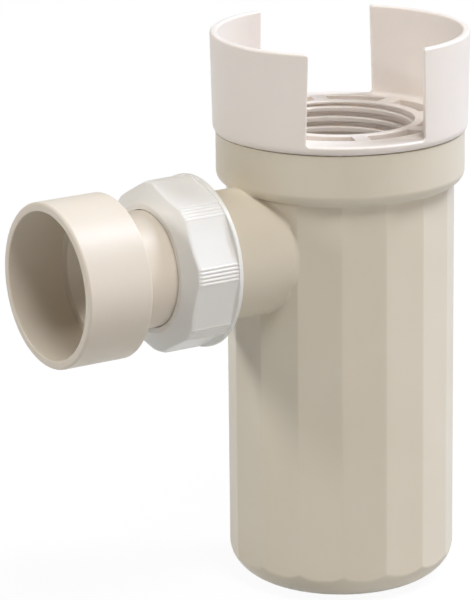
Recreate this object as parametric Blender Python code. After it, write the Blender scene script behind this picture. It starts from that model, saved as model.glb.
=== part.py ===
"""Bottle trap for a wash basin, in moulded plastic.

The faceted bottle stands on its base at the origin, with its axis along +Z and its outlet
branch along -X. A winged inlet cap screws into the bottle's collar and holds the dip tube
on its seal. An eight-sided union nut draws the tail piece on to the end of the branch.
"""
import math

import bmesh
import bpy
from mathutils import Vector

MM = 0.001

# Fits between pieces
SEAT_GAP = 0.3 * MM               # between faces that bear on each other
RUNNING_FIT = 0.4 * MM            # radial, between a thread, neck or ring and its bore

# Inlet cap: hub with the inlet thread, floor with ribs, skirt and two curved wings
INLET_BORE_RADIUS = 21.2 * MM
HUB_WALL = 2.6 * MM
HUB_RISE = 0.4 * MM               # deck round the hub, above the floor
HUB_SLOPE_WIDTH = 2.0 * MM        # from the deck down to the floor
HUB_TO_SKIRT = 6.1 * MM
SKIRT_WALL = 2.6 * MM
CAP_OVERHANG = 0.9 * MM           # foot of the wings, out past the bottle's collar
CAP_FOOT_ROUND = 1.1 * MM
CAP_FLOOR_THICKNESS = 2.3 * MM    # above the bottle's top edge
CAP_WEB_THICKNESS = 7.0 * MM      # between hub and skirt
WING_HEIGHT = 26.0 * MM
WING_FLARE = 0.5 * MM             # growth of the wing's radius from foot to top
WING_WALL = 2.2 * MM
WING_EDGE_ROUND = 0.5 * MM
WING_GAP_WIDTH = 32.5 * MM
WING_GAP_SPREAD = 0.5 * MM        # more gap on each side at the foot than at the top
WING_GAP_FILLET = 1.8 * MM
CAP_TURN = math.radians(-21.8)    # front gap's direction, turned from -Y
POCKET_COUNT = 8
POCKET_WIDTH = 5.4 * MM
POCKET_MARGIN = 0.8 * MM          # deck outside the pockets
POCKET_FLOOR = 1.4 * MM
RIB_WIDTH = 4.5 * MM

# Collar at the top of the bottle, with the female thread for the cap
COLLAR_WALL = 2.5 * MM
COLLAR_SIDE_HEIGHT = 11.4 * MM
COLLAR_UNDERSIDE_HEIGHT = 3.5 * MM
COLLAR_ROOT_DEPTH = 0.15 * MM     # how far inside the flats its curve starts
COLLAR_BORE_DEPTH = 11.8 * MM

# Bottle body
BODY_FLATS = 16
BODY_INSET = 2.9 * MM             # corner between two flats, in from the collar's side
BODY_WALL = 2.4 * MM
BASE_THICKNESS = 2.5 * MM
BASE_ROUND_WIDTH = 12.0 * MM
BASE_ROUND_HEIGHT = 11.5 * MM
BOTTLE_HEIGHT = 132.4 * MM

# Outlet branch, moulded with the bottle
BRANCH_BORE_RADIUS = 15.6 * MM
BRANCH_WALL = 2.65 * MM
BRANCH_HEADROOM = 1.15 * MM       # top of the branch to the ledge inside the collar
BRANCH_REACH = 58.5 * MM          # bottle axis to the branch's end face
BRANCH_THREAD_RISE = 2.7 * MM     # crests of the thread above the branch
BRANCH_THREAD_LENGTH = 8.0 * MM
THREAD_LEAD_IN = 0.7 * MM

# Dip tube with its dished flange, and the seal under it
TUBE_BORE_RADIUS = 14.0 * MM
TUBE_WALL = 1.8 * MM
TUBE_END_CLEARANCE = 30.0 * MM    # bottle's inside floor to the tube's lower end
TUBE_FILLET = 1.5 * MM
FLANGE_THICKNESS = 1.8 * MM
DISH_DEPTH = 6.0 * MM
CAP_SEAL_THICKNESS = 1.8 * MM
CAP_SEAL_WIDTH = 2.5 * MM
INLET_WASHER_THICKNESS = 2.0 * MM
INLET_WASHER_WIDTH = 5.5 * MM

# Tail piece with its pipe socket, and the seal behind its flange
OUTLET_SEAL_THICKNESS = 1.8 * MM
OUTLET_SEAL_WIDTH = 4.6 * MM
TAIL_FLANGE_THICKNESS = 1.6 * MM
TAIL_FLANGE_WIDTH = 4.15 * MM     # step from the flange's edge down to the neck
TAIL_NECK_LENGTH = 15.0 * MM
TAIL_WALL = 2.2 * MM
SOCKET_BORE_RADIUS = 20.1 * MM
SOCKET_WALL = 3.1 * MM
SOCKET_FLOOR = 2.9 * MM           # behind the end of the pipe
SOCKET_DEPTH = 17.0 * MM
SOCKET_EDGE_ROUND = 1.0 * MM

# Union nut
NUT_SIDES = 8
NUT_WALL = 1.65 * MM              # at the middle of a flat
NUT_CORNER_RISE = 0.95 * MM       # corners above the middle of a flat
NUT_LENGTH = 16.3 * MM
NUT_FACE_THICKNESS = 2.5 * MM
NUT_SHOULDER_DEPTH = 2.3 * MM     # slope of the front, from its rim to the corners
NUT_FACE_RIM = 1.4 * MM
NUT_FLANGE_RISE = 0.5 * MM        # rear flange above the corners
NUT_FLANGE_LENGTH = 1.35 * MM
NUT_FLANGE_ROUND = 0.4 * MM
NUT_RIBS_PER_CORNER = 5
NUT_RIB_HEIGHT = 0.4 * MM
NUT_TURN = math.radians(5.0)      # a ribbed corner, turned up from -Y

# Fineness of the round forms
BODY_STEPS = 64
OUTLET_STEPS = 48
QUARTER_STEPS = 5
FLAT_STEPS = 4                    # along each flat of the nut
SHARP_ANGLE = math.radians(20.0)  # edges that turn more than this are shaded as edges

# Radii about the bottle's axis, worked outwards from the inlet
HUB_RADIUS = INLET_BORE_RADIUS + HUB_WALL
SKIRT_BORE_RADIUS = HUB_RADIUS + HUB_TO_SKIRT
SCREWED_RADIUS = SKIRT_BORE_RADIUS + SKIRT_WALL
COLLAR_BORE_RADIUS = SCREWED_RADIUS + RUNNING_FIT
COLLAR_RADIUS = COLLAR_BORE_RADIUS + COLLAR_WALL
CAP_FOOT_RADIUS = COLLAR_RADIUS + CAP_OVERHANG
WING_TOP_RADIUS = CAP_FOOT_RADIUS + WING_FLARE
BODY_RADIUS = COLLAR_RADIUS - BODY_INSET
BODY_APOTHEM = BODY_RADIUS * math.cos(math.pi / BODY_FLATS)
CAVITY_RADIUS = BODY_APOTHEM - BODY_WALL
BASE_FLAT_RADIUS = BODY_RADIUS - BASE_ROUND_WIDTH
TUBE_RADIUS = TUBE_BORE_RADIUS + TUBE_WALL

# Heights along the bottle's axis
LEDGE_Z = BOTTLE_HEIGHT - COLLAR_BORE_DEPTH
CAP_SEAL_Z = LEDGE_Z + SEAT_GAP
FLANGE_Z = CAP_SEAL_Z + CAP_SEAL_THICKNESS + SEAT_GAP
FLANGE_TOP_Z = FLANGE_Z + FLANGE_THICKNESS
DISH_FLOOR_Z = FLANGE_TOP_Z - DISH_DEPTH
HUB_END_Z = DISH_FLOOR_Z + SEAT_GAP
SKIRT_END_Z = FLANGE_TOP_Z + SEAT_GAP
CAP_JOINT_Z = BOTTLE_HEIGHT + SEAT_GAP
CAP_FLOOR_Z = CAP_JOINT_Z + CAP_FLOOR_THICKNESS
WEB_Z = CAP_FLOOR_Z - CAP_WEB_THICKNESS
WING_TOP_Z = CAP_FLOOR_Z + WING_HEIGHT

# Radii about the outlet's axis, worked outwards from the branch's bore
BRANCH_RADIUS = BRANCH_BORE_RADIUS + BRANCH_WALL
BRANCH_THREAD_RADIUS = BRANCH_RADIUS + BRANCH_THREAD_RISE
OUTLET_SEAL_RADIUS = BRANCH_THREAD_RADIUS - RUNNING_FIT
TAIL_FLANGE_RADIUS = BRANCH_THREAD_RADIUS - RUNNING_FIT
TAIL_NECK_RADIUS = TAIL_FLANGE_RADIUS - TAIL_FLANGE_WIDTH
SOCKET_RADIUS = SOCKET_BORE_RADIUS + SOCKET_WALL
NUT_BORE_RADIUS = BRANCH_THREAD_RADIUS + RUNNING_FIT
NUT_APOTHEM = NUT_BORE_RADIUS + NUT_WALL
NUT_CORNER_RADIUS = NUT_APOTHEM + NUT_CORNER_RISE
NUT_FLANGE_RADIUS = NUT_CORNER_RADIUS + NUT_FLANGE_RISE

# Places along the outlet's axis, counted from the bottle's axis, and its height
OUTLET_Z = LEDGE_Z - BRANCH_HEADROOM - BRANCH_RADIUS
OUTLET_SEAL_X = BRANCH_REACH + SEAT_GAP
TAIL_FLANGE_X = OUTLET_SEAL_X + OUTLET_SEAL_THICKNESS + SEAT_GAP
TAIL_NECK_X = TAIL_FLANGE_X + TAIL_FLANGE_THICKNESS
SOCKET_X = TAIL_NECK_X + TAIL_NECK_LENGTH
SOCKET_MOUTH_X = SOCKET_X + SOCKET_FLOOR + SOCKET_DEPTH
NUT_FACE_X = TAIL_NECK_X + SEAT_GAP + NUT_FACE_THICKNESS
OVERCUT = 1.0 * MM                # how far a cutter runs past the face that it opens


def quarter(centre, wide, high, start_deg):
    """Points of a quarter of an ellipse about centre, from start_deg on by 90 degrees."""
    for step in range(QUARTER_STEPS + 1):
        angle = math.radians(start_deg + 90.0 * step / QUARTER_STEPS)
        yield (centre[0] + wide * math.cos(angle), centre[1] + high * math.sin(angle))


def quarter_back(centre, wide, high, start_deg):
    """The same points as quarter, in the other order."""
    return reversed(list(quarter(centre, wide, high, start_deg)))


def plastic(name, colour, roughness):
    """A moulded plastic or rubber of one colour."""
    material = bpy.data.materials.new(name)
    material.use_nodes = True
    shader = material.node_tree.nodes["Principled BSDF"]
    shader.inputs["Base Color"].default_value = (*colour, 1.0)
    shader.inputs["Roughness"].default_value = roughness
    shader.inputs["Metallic"].default_value = 0.0
    material.diffuse_color = (*colour, 1.0)
    return material


def add_object(name, bm, carrier=None, turn=0.0, smooth=True):
    """Put a finished bmesh into the scene as an object, turned about its carrier's axis."""
    bmesh.ops.recalc_face_normals(bm, faces=bm.faces)
    mesh = bpy.data.meshes.new(name)
    bm.to_mesh(mesh)
    bm.free()
    if smooth:
        mesh.shade_smooth()
        mesh.set_sharp_from_angle(angle=SHARP_ANGLE)
    obj = bpy.data.objects.new(name, mesh)
    obj.parent = carrier
    obj.rotation_euler.z = turn
    bpy.context.scene.collection.objects.link(obj)
    return obj


def turned(name, profile, steps, carrier=None):
    """Spin a profile of (radius, height) points round the Z axis.

    A profile that starts and ends on the axis makes a solid; any other one is closed on
    itself and makes a ring. The first facet is centred on +X, so that the long edges of
    the branch and of the bottle never cross each other.
    """
    points = list(profile)
    first = math.pi / steps
    bm = bmesh.new()
    verts = [bm.verts.new((radius * math.cos(first), radius * math.sin(first), height))
             for radius, height in points]
    edges = [bm.edges.new(pair) for pair in zip(verts, verts[1:])]
    if points[0][0] > 0.0:
        edges.append(bm.edges.new((verts[-1], verts[0])))
    bmesh.ops.spin(bm, geom=verts + edges, cent=(0, 0, 0), axis=(0, 0, 1),
                   angle=2.0 * math.pi, steps=steps, use_merge=True)
    bmesh.ops.remove_doubles(bm, verts=bm.verts, dist=1e-7)
    return add_object(name, bm, carrier)


def add_prism(bm, outline, direction):
    """Extrude a closed outline of 3-D points along a direction, inside bm."""
    face = bm.faces.new([bm.verts.new(point) for point in outline])
    grown = bmesh.ops.extrude_face_region(bm, geom=[face], use_keep_orig=True)
    moved = [item for item in grown["geom"] if isinstance(item, bmesh.types.BMVert)]
    bmesh.ops.translate(bm, verts=moved, vec=direction)


def combine(target, tool, operation):
    """Add a Boolean modifier and set its tool object aside as a hidden guide."""
    modifier = target.modifiers.new(tool.name, "BOOLEAN")
    modifier.operation = operation
    modifier.solver = "EXACT"
    modifier.object = tool
    tool.hide_render = True
    tool.display_type = "WIRE"


def make_bottle(material, outlet):
    """Faceted bottle with its collar, its rounded base and its threaded branch."""
    blank_radius = BODY_RADIUS + RUNNING_FIT
    collar_side_z = BOTTLE_HEIGHT - COLLAR_SIDE_HEIGHT
    body_top_z = collar_side_z - COLLAR_UNDERSIDE_HEIGHT / 2.0
    profile = [(0.0, 0.0)]
    profile += quarter((BASE_FLAT_RADIUS, BASE_ROUND_HEIGHT), blank_radius - BASE_FLAT_RADIUS,
                       BASE_ROUND_HEIGHT, -90.0)
    profile += [(blank_radius, body_top_z), (0.0, body_top_z)]
    bottle = turned("bottle", profile, BODY_STEPS)
    bottle.data.materials.append(material)

    bm = bmesh.new()
    flats = []
    for corner in range(BODY_FLATS):
        angle = (corner + 0.5) * 2.0 * math.pi / BODY_FLATS
        flats.append((BODY_RADIUS * math.cos(angle), BODY_RADIUS * math.sin(angle), -OVERCUT))
    add_prism(bm, flats, Vector((0.0, 0.0, BOTTLE_HEIGHT)))
    combine(bottle, add_object("bottle_flats", bm, smooth=False), "INTERSECT")

    collar_root = BODY_APOTHEM - COLLAR_ROOT_DEPTH
    collar = [(0.0, collar_side_z - COLLAR_UNDERSIDE_HEIGHT)]
    collar += quarter((collar_root, collar_side_z), COLLAR_RADIUS - collar_root,
                      COLLAR_UNDERSIDE_HEIGHT, -90.0)
    collar += quarter((COLLAR_RADIUS - SEAT_GAP, BOTTLE_HEIGHT - SEAT_GAP),
                      SEAT_GAP, SEAT_GAP, 0.0)
    collar.append((0.0, BOTTLE_HEIGHT))
    combine(bottle, turned("bottle_collar", collar, BODY_STEPS), "UNION")

    root_x = CAVITY_RADIUS / 2.0
    thread_x = BRANCH_REACH - BRANCH_THREAD_LENGTH
    branch = [(0.0, root_x), (BRANCH_RADIUS, root_x),
              (BRANCH_RADIUS, thread_x - THREAD_LEAD_IN), (BRANCH_THREAD_RADIUS, thread_x),
              (BRANCH_THREAD_RADIUS, BRANCH_REACH - THREAD_LEAD_IN),
              (BRANCH_THREAD_RADIUS - THREAD_LEAD_IN, BRANCH_REACH), (0.0, BRANCH_REACH)]
    combine(bottle, turned("bottle_branch", branch, OUTLET_STEPS, outlet), "UNION")

    cavity = [(0.0, BASE_THICKNESS)]
    cavity += quarter((BASE_FLAT_RADIUS, BASE_ROUND_HEIGHT), CAVITY_RADIUS - BASE_FLAT_RADIUS,
                      BASE_ROUND_HEIGHT - BASE_THICKNESS, -90.0)
    cavity += [(CAVITY_RADIUS, LEDGE_Z), (COLLAR_BORE_RADIUS, LEDGE_Z),
               (COLLAR_BORE_RADIUS, BOTTLE_HEIGHT + OVERCUT), (0.0, BOTTLE_HEIGHT + OVERCUT)]
    combine(bottle, turned("bottle_cavity", cavity, BODY_STEPS), "DIFFERENCE")

    bore = [(0.0, root_x - OVERCUT), (BRANCH_BORE_RADIUS, root_x - OVERCUT),
            (BRANCH_BORE_RADIUS, BRANCH_REACH + OVERCUT), (0.0, BRANCH_REACH + OVERCUT)]
    combine(bottle, turned("bottle_branch_bore", bore, OUTLET_STEPS, outlet), "DIFFERENCE")


def make_dip_tube(material):
    """Tube that carries the water down, with the dished flange that hangs it."""
    end_z = BASE_THICKNESS + TUBE_END_CLEARANCE
    dish_radius = HUB_RADIUS + RUNNING_FIT
    dish_outside = dish_radius + FLANGE_THICKNESS
    dish_under_z = DISH_FLOOR_Z - FLANGE_THICKNESS
    profile = [(TUBE_BORE_RADIUS, end_z), (TUBE_RADIUS, end_z)]
    profile += quarter_back((TUBE_RADIUS + TUBE_FILLET, dish_under_z - TUBE_FILLET),
                            TUBE_FILLET, TUBE_FILLET, 90.0)
    profile += quarter((dish_outside - TUBE_FILLET, dish_under_z + TUBE_FILLET),
                       TUBE_FILLET, TUBE_FILLET, -90.0)
    profile += [(dish_outside, FLANGE_Z), (SCREWED_RADIUS, FLANGE_Z),
                (SCREWED_RADIUS, FLANGE_TOP_Z), (dish_radius, FLANGE_TOP_Z),
                (dish_radius, DISH_FLOOR_Z), (TUBE_BORE_RADIUS, DISH_FLOOR_Z)]
    turned("dip_tube", profile, OUTLET_STEPS).data.materials.append(material)


def flat_ring(name, material, outside, width, low, thickness, carrier=None):
    """Flat ring cut from rubber sheet, given by its outside radius and width."""
    inside, high = outside - width, low + thickness
    profile = [(inside, low), (outside, low), (outside, high), (inside, high)]
    turned(name, profile, OUTLET_STEPS, carrier).data.materials.append(material)


def gap_cutters():
    """The two openings between the wings, straight-sided and rounded at the foot."""
    half_top = WING_GAP_WIDTH / 2.0
    half_foot = half_top + WING_GAP_SPREAD
    side = [(half_top, WING_TOP_Z + OVERCUT)]
    side += quarter_back((half_foot - WING_GAP_FILLET, CAP_FLOOR_Z + WING_GAP_FILLET),
                         WING_GAP_FILLET, WING_GAP_FILLET, -90.0)
    outline = side + [(-across, height) for across, height in reversed(side)]
    wing_inside = CAP_FOOT_RADIUS - WING_WALL
    start = math.sqrt(wing_inside ** 2 - half_foot ** 2) - OVERCUT
    reach = WING_TOP_RADIUS + OVERCUT - start
    bm = bmesh.new()
    for way in (-1.0, 1.0):
        add_prism(bm, [(across, way * start, height) for across, height in outline],
                  Vector((0.0, way * reach, 0.0)))
    return add_object("inlet_cap_gaps", bm, turn=CAP_TURN, smooth=False)


def pocket_cutters():
    """Ring of blind pockets round the hub, with ribs of one width between them."""
    floor_z = WEB_Z + POCKET_FLOOR
    pitch = 2.0 * math.pi / POCKET_COUNT
    bm = bmesh.new()
    for pocket in range(POCKET_COUNT):
        middle = (pocket + 0.5) * pitch - math.pi / 2.0
        outline = []
        for radius, way in ((HUB_RADIUS, 1.0), (HUB_RADIUS + POCKET_WIDTH, -1.0)):
            half = pitch / 2.0 - math.asin(RIB_WIDTH / 2.0 / radius)
            for step in range(QUARTER_STEPS + 1):
                angle = middle + way * half * (2.0 * step / QUARTER_STEPS - 1.0)
                outline.append((radius * math.cos(angle), radius * math.sin(angle), floor_z))
        add_prism(bm, outline, Vector((0.0, 0.0, CAP_FLOOR_Z + HUB_RISE + OVERCUT - floor_z)))
    return add_object("inlet_cap_pockets", bm, turn=CAP_TURN, smooth=False)


def make_inlet_cap(material):
    """Cap with the inlet thread in its hub, a skirt for the collar and two wings."""
    rim_z = CAP_FLOOR_Z + HUB_RISE
    wing_inside = WING_TOP_RADIUS - WING_WALL
    foot_inside = CAP_FOOT_RADIUS - WING_WALL
    edge_z = WING_TOP_Z - WING_EDGE_ROUND
    slope_start = HUB_RADIUS + POCKET_WIDTH + POCKET_MARGIN
    profile = [(INLET_BORE_RADIUS, HUB_END_Z), (HUB_RADIUS, HUB_END_Z), (HUB_RADIUS, WEB_Z),
               (SKIRT_BORE_RADIUS, WEB_Z), (SKIRT_BORE_RADIUS, SKIRT_END_Z),
               (SCREWED_RADIUS, SKIRT_END_Z), (SCREWED_RADIUS, CAP_JOINT_Z)]
    profile += quarter((CAP_FOOT_RADIUS - CAP_FOOT_ROUND, CAP_JOINT_Z + 2.0 * CAP_FOOT_ROUND),
                       CAP_FOOT_ROUND, 2.0 * CAP_FOOT_ROUND, -90.0)
    profile += [(WING_TOP_RADIUS, edge_z), (WING_TOP_RADIUS - WING_EDGE_ROUND, WING_TOP_Z),
                (wing_inside + WING_EDGE_ROUND, WING_TOP_Z), (wing_inside, edge_z),
                (foot_inside, CAP_FLOOR_Z + WING_EDGE_ROUND),
                (foot_inside - WING_EDGE_ROUND, CAP_FLOOR_Z),
                (slope_start + HUB_SLOPE_WIDTH, CAP_FLOOR_Z), (slope_start, rim_z),
                (INLET_BORE_RADIUS + WING_EDGE_ROUND, rim_z),
                (INLET_BORE_RADIUS, rim_z - WING_EDGE_ROUND)]
    cap = turned("inlet_cap", profile, BODY_STEPS)
    cap.data.materials.append(material)
    combine(cap, gap_cutters(), "DIFFERENCE")
    combine(cap, pocket_cutters(), "DIFFERENCE")


def make_outlet_tail(material, outlet):
    """Tail piece: flange held by the nut, neck, and a socket for the waste pipe."""
    bore = TAIL_NECK_RADIUS - TAIL_WALL
    profile = [(bore, TAIL_FLANGE_X), (TAIL_FLANGE_RADIUS, TAIL_FLANGE_X),
               (TAIL_FLANGE_RADIUS, TAIL_NECK_X), (TAIL_NECK_RADIUS, TAIL_NECK_X),
               (TAIL_NECK_RADIUS, SOCKET_X)]
    profile += quarter((SOCKET_RADIUS - SOCKET_EDGE_ROUND, SOCKET_X + SOCKET_EDGE_ROUND),
                       SOCKET_EDGE_ROUND, SOCKET_EDGE_ROUND, -90.0)
    profile += [(SOCKET_RADIUS, SOCKET_MOUTH_X - SEAT_GAP),
                (SOCKET_RADIUS - SEAT_GAP, SOCKET_MOUTH_X),
                (SOCKET_BORE_RADIUS + SEAT_GAP, SOCKET_MOUTH_X),
                (SOCKET_BORE_RADIUS, SOCKET_MOUTH_X - SEAT_GAP),
                (SOCKET_BORE_RADIUS, SOCKET_MOUTH_X - SOCKET_DEPTH),
                (bore, SOCKET_MOUTH_X - SOCKET_DEPTH)]
    turned("outlet_tail", profile, OUTLET_STEPS, outlet).data.materials.append(material)


def nut_outline():
    """Angle and radius of the points round the nut: flats, and ribs over each corner."""
    pitch = 2.0 * math.pi / NUT_SIDES
    band = pitch / 2.0 - math.acos(NUT_APOTHEM / NUT_CORNER_RADIUS)
    for side in range(NUT_SIDES):
        corner = side * pitch
        rib_steps = 2 * NUT_RIBS_PER_CORNER
        for step in range(rib_steps + 1):
            angle = corner - band + 2.0 * band * step / rib_steps
            yield angle, NUT_CORNER_RADIUS + (NUT_RIB_HEIGHT if step % 2 else 0.0)
        for step in range(1, FLAT_STEPS):
            off_middle = (pitch / 2.0 - band) * (2.0 * step / FLAT_STEPS - 1.0)
            yield corner + pitch / 2.0 + off_middle, NUT_APOTHEM / math.cos(off_middle)


def make_outlet_nut(material, outlet):
    """Union nut: a loft of rings from the rear flange, over the flats, into the bore."""
    rear_x = NUT_FACE_X - NUT_LENGTH
    flange_x = rear_x + NUT_FLANGE_LENGTH
    hole = TAIL_NECK_RADIUS + RUNNING_FIT
    rim = hole + NUT_FACE_RIM
    slope = NUT_SHOULDER_DEPTH / (NUT_CORNER_RADIUS - rim)
    bm = bmesh.new()
    columns = []
    for angle, radius in nut_outline():
        shoulder_x = NUT_FACE_X - slope * (radius - rim)
        section = [(NUT_BORE_RADIUS + SEAT_GAP, rear_x),
                   (NUT_FLANGE_RADIUS - NUT_FLANGE_ROUND, rear_x),
                   (NUT_FLANGE_RADIUS, rear_x + NUT_FLANGE_ROUND), (NUT_FLANGE_RADIUS, flange_x),
                   (radius, flange_x), (radius, shoulder_x), (rim, NUT_FACE_X),
                   (hole, NUT_FACE_X), (hole, NUT_FACE_X - NUT_FACE_THICKNESS),
                   (NUT_BORE_RADIUS, NUT_FACE_X - NUT_FACE_THICKNESS),
                   (NUT_BORE_RADIUS, rear_x + SEAT_GAP)]
        columns.append([bm.verts.new((r * math.cos(angle), r * math.sin(angle), x))
                        for r, x in section])
    for column, following in zip(columns, columns[1:] + columns[:1]):
        for row, vert in enumerate(column):
            bm.faces.new((vert, following[row], following[row - 1], column[row - 1]))
    nut = add_object("outlet_nut", bm, outlet, turn=NUT_TURN - math.pi / 2.0)
    nut.data.materials.append(material)


def main():
    """Clear the scene and build every piece of the trap."""
    for obj in list(bpy.data.objects):
        bpy.data.objects.remove(obj, do_unlink=True)
    ivory = plastic("ivory_bottle_plastic", (0.68, 0.61, 0.51), 0.38)
    cap_ivory = plastic("ivory_cap_plastic", (0.70, 0.62, 0.53), 0.38)
    tail_ivory = plastic("ivory_tail_plastic", (0.68, 0.60, 0.49), 0.36)
    tube_ivory = plastic("ivory_tube_plastic", (0.66, 0.60, 0.50), 0.40)
    white = plastic("white_nut_plastic", (0.80, 0.78, 0.75), 0.34)
    rubber = [plastic(name, (0.03, 0.03, 0.03), 0.7)
              for name in ("cap_seal_rubber", "inlet_washer_rubber", "outlet_seal_rubber")]

    outlet = bpy.data.objects.new("outlet_axis", None)
    outlet.location = (0.0, 0.0, OUTLET_Z)
    outlet.rotation_euler.y = -math.pi / 2.0
    bpy.context.scene.collection.objects.link(outlet)

    make_bottle(ivory, outlet)
    make_dip_tube(tube_ivory)
    flat_ring("cap_seal", rubber[0], SCREWED_RADIUS, CAP_SEAL_WIDTH,
              CAP_SEAL_Z, CAP_SEAL_THICKNESS)
    flat_ring("inlet_washer", rubber[1], INLET_BORE_RADIUS - RUNNING_FIT, INLET_WASHER_WIDTH,
              HUB_END_Z, INLET_WASHER_THICKNESS)
    make_inlet_cap(cap_ivory)
    flat_ring("outlet_seal", rubber[2], OUTLET_SEAL_RADIUS, OUTLET_SEAL_WIDTH,
              OUTLET_SEAL_X, OUTLET_SEAL_THICKNESS, outlet)
    make_outlet_tail(tail_ivory, outlet)
    make_outlet_nut(white, outlet)


if __name__ == "__main__":
    main()
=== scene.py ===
"""Looks of a plastic bottle trap for a wash basin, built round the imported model.

Every piece is remade here with its moulded roundings and its threads, in place of the
plainer solid of the same size, and rides on that solid's body. Two axes carry all the
forms: the inlet axis runs up the bottle, and the outlet axis runs out along -X.
"""
import logging
import math
from dataclasses import dataclass
from enum import Enum
from typing import Sequence

import bmesh
import bpy
import numpy as np
from mathutils import Matrix, Vector


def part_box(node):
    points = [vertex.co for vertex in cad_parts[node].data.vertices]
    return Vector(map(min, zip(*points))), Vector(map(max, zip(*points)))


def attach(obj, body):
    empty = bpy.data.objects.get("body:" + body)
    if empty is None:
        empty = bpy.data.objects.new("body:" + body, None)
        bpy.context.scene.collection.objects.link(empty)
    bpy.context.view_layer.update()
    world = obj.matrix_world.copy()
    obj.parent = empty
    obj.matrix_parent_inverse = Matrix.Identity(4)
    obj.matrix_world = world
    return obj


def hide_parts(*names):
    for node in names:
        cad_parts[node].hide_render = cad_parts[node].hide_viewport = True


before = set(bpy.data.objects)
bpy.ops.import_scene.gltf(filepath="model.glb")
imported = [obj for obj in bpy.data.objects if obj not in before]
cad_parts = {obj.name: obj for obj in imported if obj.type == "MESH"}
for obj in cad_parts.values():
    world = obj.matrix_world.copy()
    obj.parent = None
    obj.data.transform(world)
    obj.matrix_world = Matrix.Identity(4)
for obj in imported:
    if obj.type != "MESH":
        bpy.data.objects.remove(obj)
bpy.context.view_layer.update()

LOG = logging.getLogger("bottle_trap")
MM = 0.001
TURN = 2.0 * math.pi
Corner = tuple[float, float, float]
Profile = list[tuple[float, float]]


class Axis(Enum):
    """The line that a turned piece is built about."""

    INLET = "up the bottle"
    OUTLET = "out of the branch"


class Cut(Enum):
    """What a tool solid does to the piece that it meets."""

    ADD = "UNION"
    REMOVE = "DIFFERENCE"


class Body(Enum):
    """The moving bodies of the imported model."""

    BOTTLE = "bottle"
    INSERT = "insert"
    CAP = "cap"
    UNION_SEAL = "union_seal"
    NUT = "nut"
    TAIL = "tail"


def true_radius(half_width: float, facets: int) -> float:
    """Radius of the corners of a facetted round whose flats face the axes.

    Args:
        half_width: Half the width of the facetted solid, across its flats.
        facets: How many facets it has.

    Returns:
        The radius of the round that the facets stand for.
    """
    return half_width / math.cos(math.pi / facets)


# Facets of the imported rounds: the collar's, and those of the tube's flange, the rings and
# the outlet's pieces.
CAD_BODY_FACETS = 64
CAD_OUTLET_FACETS = 48

# The longest part of a side that the rounding of one corner may take.
LONGEST_EASE = 0.47

# Edges that turn by more than this stay sharp in the shading.
SHARP_ANGLE = math.radians(38.0)

# Radial clearance of what screws or slides together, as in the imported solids.
RUNNING_FIT = 0.4 * MM


@dataclass(frozen=True)
class Layout:
    """Places and radii that several pieces share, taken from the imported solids."""

    bottle_top: float
    collar_radius: float
    branch_reach: float
    branch_crest: float
    outlet_z: float
    cap_joint: float
    cap_top: float
    wing_radius: float
    skirt_end: float
    hub_end: float
    screwed_radius: float

    @classmethod
    def from_frame(cls) -> "Layout":
        """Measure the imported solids.

        Returns:
            The shared places and radii.
        """
        bottle_low, bottle_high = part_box("bottle")
        tail_low, tail_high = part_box("outlet_tail")
        cap_low, cap_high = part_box("inlet_cap")
        tube_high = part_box("dip_tube")[1]
        seal_low, seal_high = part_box("outlet_seal")
        gap = seal_low.x - tail_high.x
        return cls(
            bottle_top=bottle_high.z,
            collar_radius=true_radius(bottle_high.y, CAD_BODY_FACETS),
            branch_reach=-bottle_low.x,
            branch_crest=true_radius(seal_high.y, CAD_OUTLET_FACETS) + RUNNING_FIT,
            outlet_z=(tail_low.z + tail_high.z) / 2.0,
            cap_joint=bottle_high.z + gap,
            cap_top=cap_high.z,
            wing_radius=cap_high.x,
            skirt_end=tube_high.z + gap,
            hub_end=cap_low.z,
            screwed_radius=true_radius(tube_high.y, CAD_OUTLET_FACETS),
        )


def placed(points: np.ndarray, axis: Axis, outlet_z: float) -> np.ndarray:
    """Move points from a piece's own axis, along Z, to its place in the trap.

    Args:
        points: Points in metres, in an array whose last side is x, y, z.
        axis: The axis that the piece is built about.
        outlet_z: Height of the outlet axis.

    Returns:
        The points in the trap.
    """
    if axis is Axis.INLET:
        return points
    x, y, along = np.moveaxis(points, -1, 0)
    return np.stack((-along, y, x + outlet_z), axis=-1)


def eased(corners: Sequence[Corner], steps: int = 4, closed: bool = False) -> Profile:
    """Round the corners of an outline with arcs, as a mould does.

    Args:
        corners: Points of (radius, height, rounding). A rounding of 0 keeps the corner.
        steps: Segments of each arc.
        closed: Whether the last corner joins the first one.

    Returns:
        The outline's points, as many for any sizes as long as the roundings aren't 0.
    """
    count = len(corners)
    outline: Profile = []
    for index, (radius, height, rounding) in enumerate(corners):
        here = np.array((radius, height))
        if rounding <= 0.0 or (not closed and index in (0, count - 1)):
            outline.append((radius, height))
            continue
        before = np.array(corners[index - 1][:2]) - here
        after = np.array(corners[(index + 1) % count][:2]) - here
        reach_before, reach_after = np.linalg.norm(before), np.linalg.norm(after)
        before, after = before / reach_before, after / reach_after
        half = math.acos(float(np.clip(before @ after, -1.0, 1.0))) / 2.0
        run = min(rounding / math.tan(half), LONGEST_EASE * min(reach_before, reach_after))
        centre = here + (before + after) / np.linalg.norm(before + after) * run / math.cos(half)
        start, end = here + before * run - centre, here + after * run - centre
        sweep = math.pi - 2.0 * half
        for step in range(steps + 1):
            part = step / steps
            spoke = (math.sin((1.0 - part) * sweep) * start + math.sin(part * sweep) * end)
            spot = centre + spoke / math.sin(sweep)
            outline.append((float(spot[0]), float(spot[1])))
    return outline


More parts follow.
